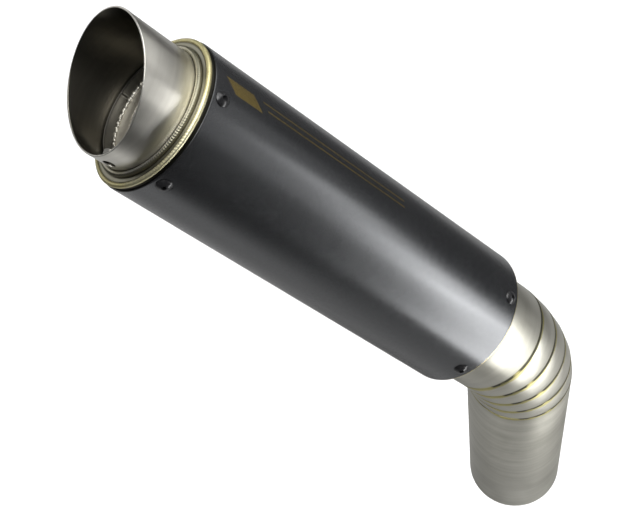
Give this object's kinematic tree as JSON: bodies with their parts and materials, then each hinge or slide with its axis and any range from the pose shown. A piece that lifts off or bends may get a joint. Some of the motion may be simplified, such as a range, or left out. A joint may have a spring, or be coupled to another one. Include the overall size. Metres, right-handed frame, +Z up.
{
  "type": "exhaust muffler",
  "caption": "Slip-on motorcycle exhaust muffler: straight inlet pipe, mitred pie-cut bend, round black-sleeved can, slash-cut outlet tube and removable baffle insert.",
  "frame": {"origin": "centre of the inlet pipe's open end", "axes": "+Z up the inlet pipe into the muffler, the can leans towards -X in the XZ plane, +Y is across that plane"},
  "size_m": [0.3129, 0.1008, 0.6175],
  "materials": {
    "brushed_tube": "brushed",
    "tinted_weld": "as welded, straw to gold heat tint",
    "sleeve_black": "satin black ceramic coat",
    "black_screw": "black oxide",
    "inner_steel": "dull, used inside",
    "wire_wool": "loose wire",
    "glass_wool": "fibrous"
  },
  "bodies": {
    "root": {"inlet_pipe": "brushed_tube", "pie_segment_1": "brushed_tube", "pie_segment_2": "brushed_tube", "pie_segment_3": "brushed_tube", "pie_segment_4": "brushed_tube", "pie_weld_1": "tinted_weld", "pie_weld_2": "tinted_weld", "pie_weld_3": "tinted_weld", "pie_weld_4": "tinted_weld", "pie_weld_5": "tinted_weld", "inlet_collar": "brushed_tube", "inlet_end_cap": "brushed_tube", "inlet_cap_weld": "tinted_weld", "outer_sleeve": "sleeve_black", "outlet_end_plate": "brushed_tube", "outlet_end_band": "brushed_tube", "outlet_cap_weld": "tinted_weld", "outlet_tube": "brushed_tube", "outlet_tube_weld": "brushed_tube", "insert_seat": "inner_steel", "perforated_core": "inner_steel", "steel_wool_wrap": "wire_wool", "glass_packing": "glass_wool", "outlet_screws": "black_screw", "inlet_screws": "black_screw", "outlet_weld_nuts": "inner_steel", "inlet_weld_nuts": "inner_steel"},
    "baffle_insert": {"insert_ring": "inner_steel", "insert_disc": "inner_steel", "insert_disc_weld": "tinted_weld", "insert_tube": "inner_steel", "insert_tube_weld": "tinted_weld", "insert_end_plate": "inner_steel", "insert_weld_nut": "inner_steel"}
  },
  "joints": [
    {"name": "insert_slide", "type": "slide", "parent": "root", "child": "baffle_insert", "axis": [-0.6088, 0, 0.7934], "range_m": [0, 0.16]}
  ]
}
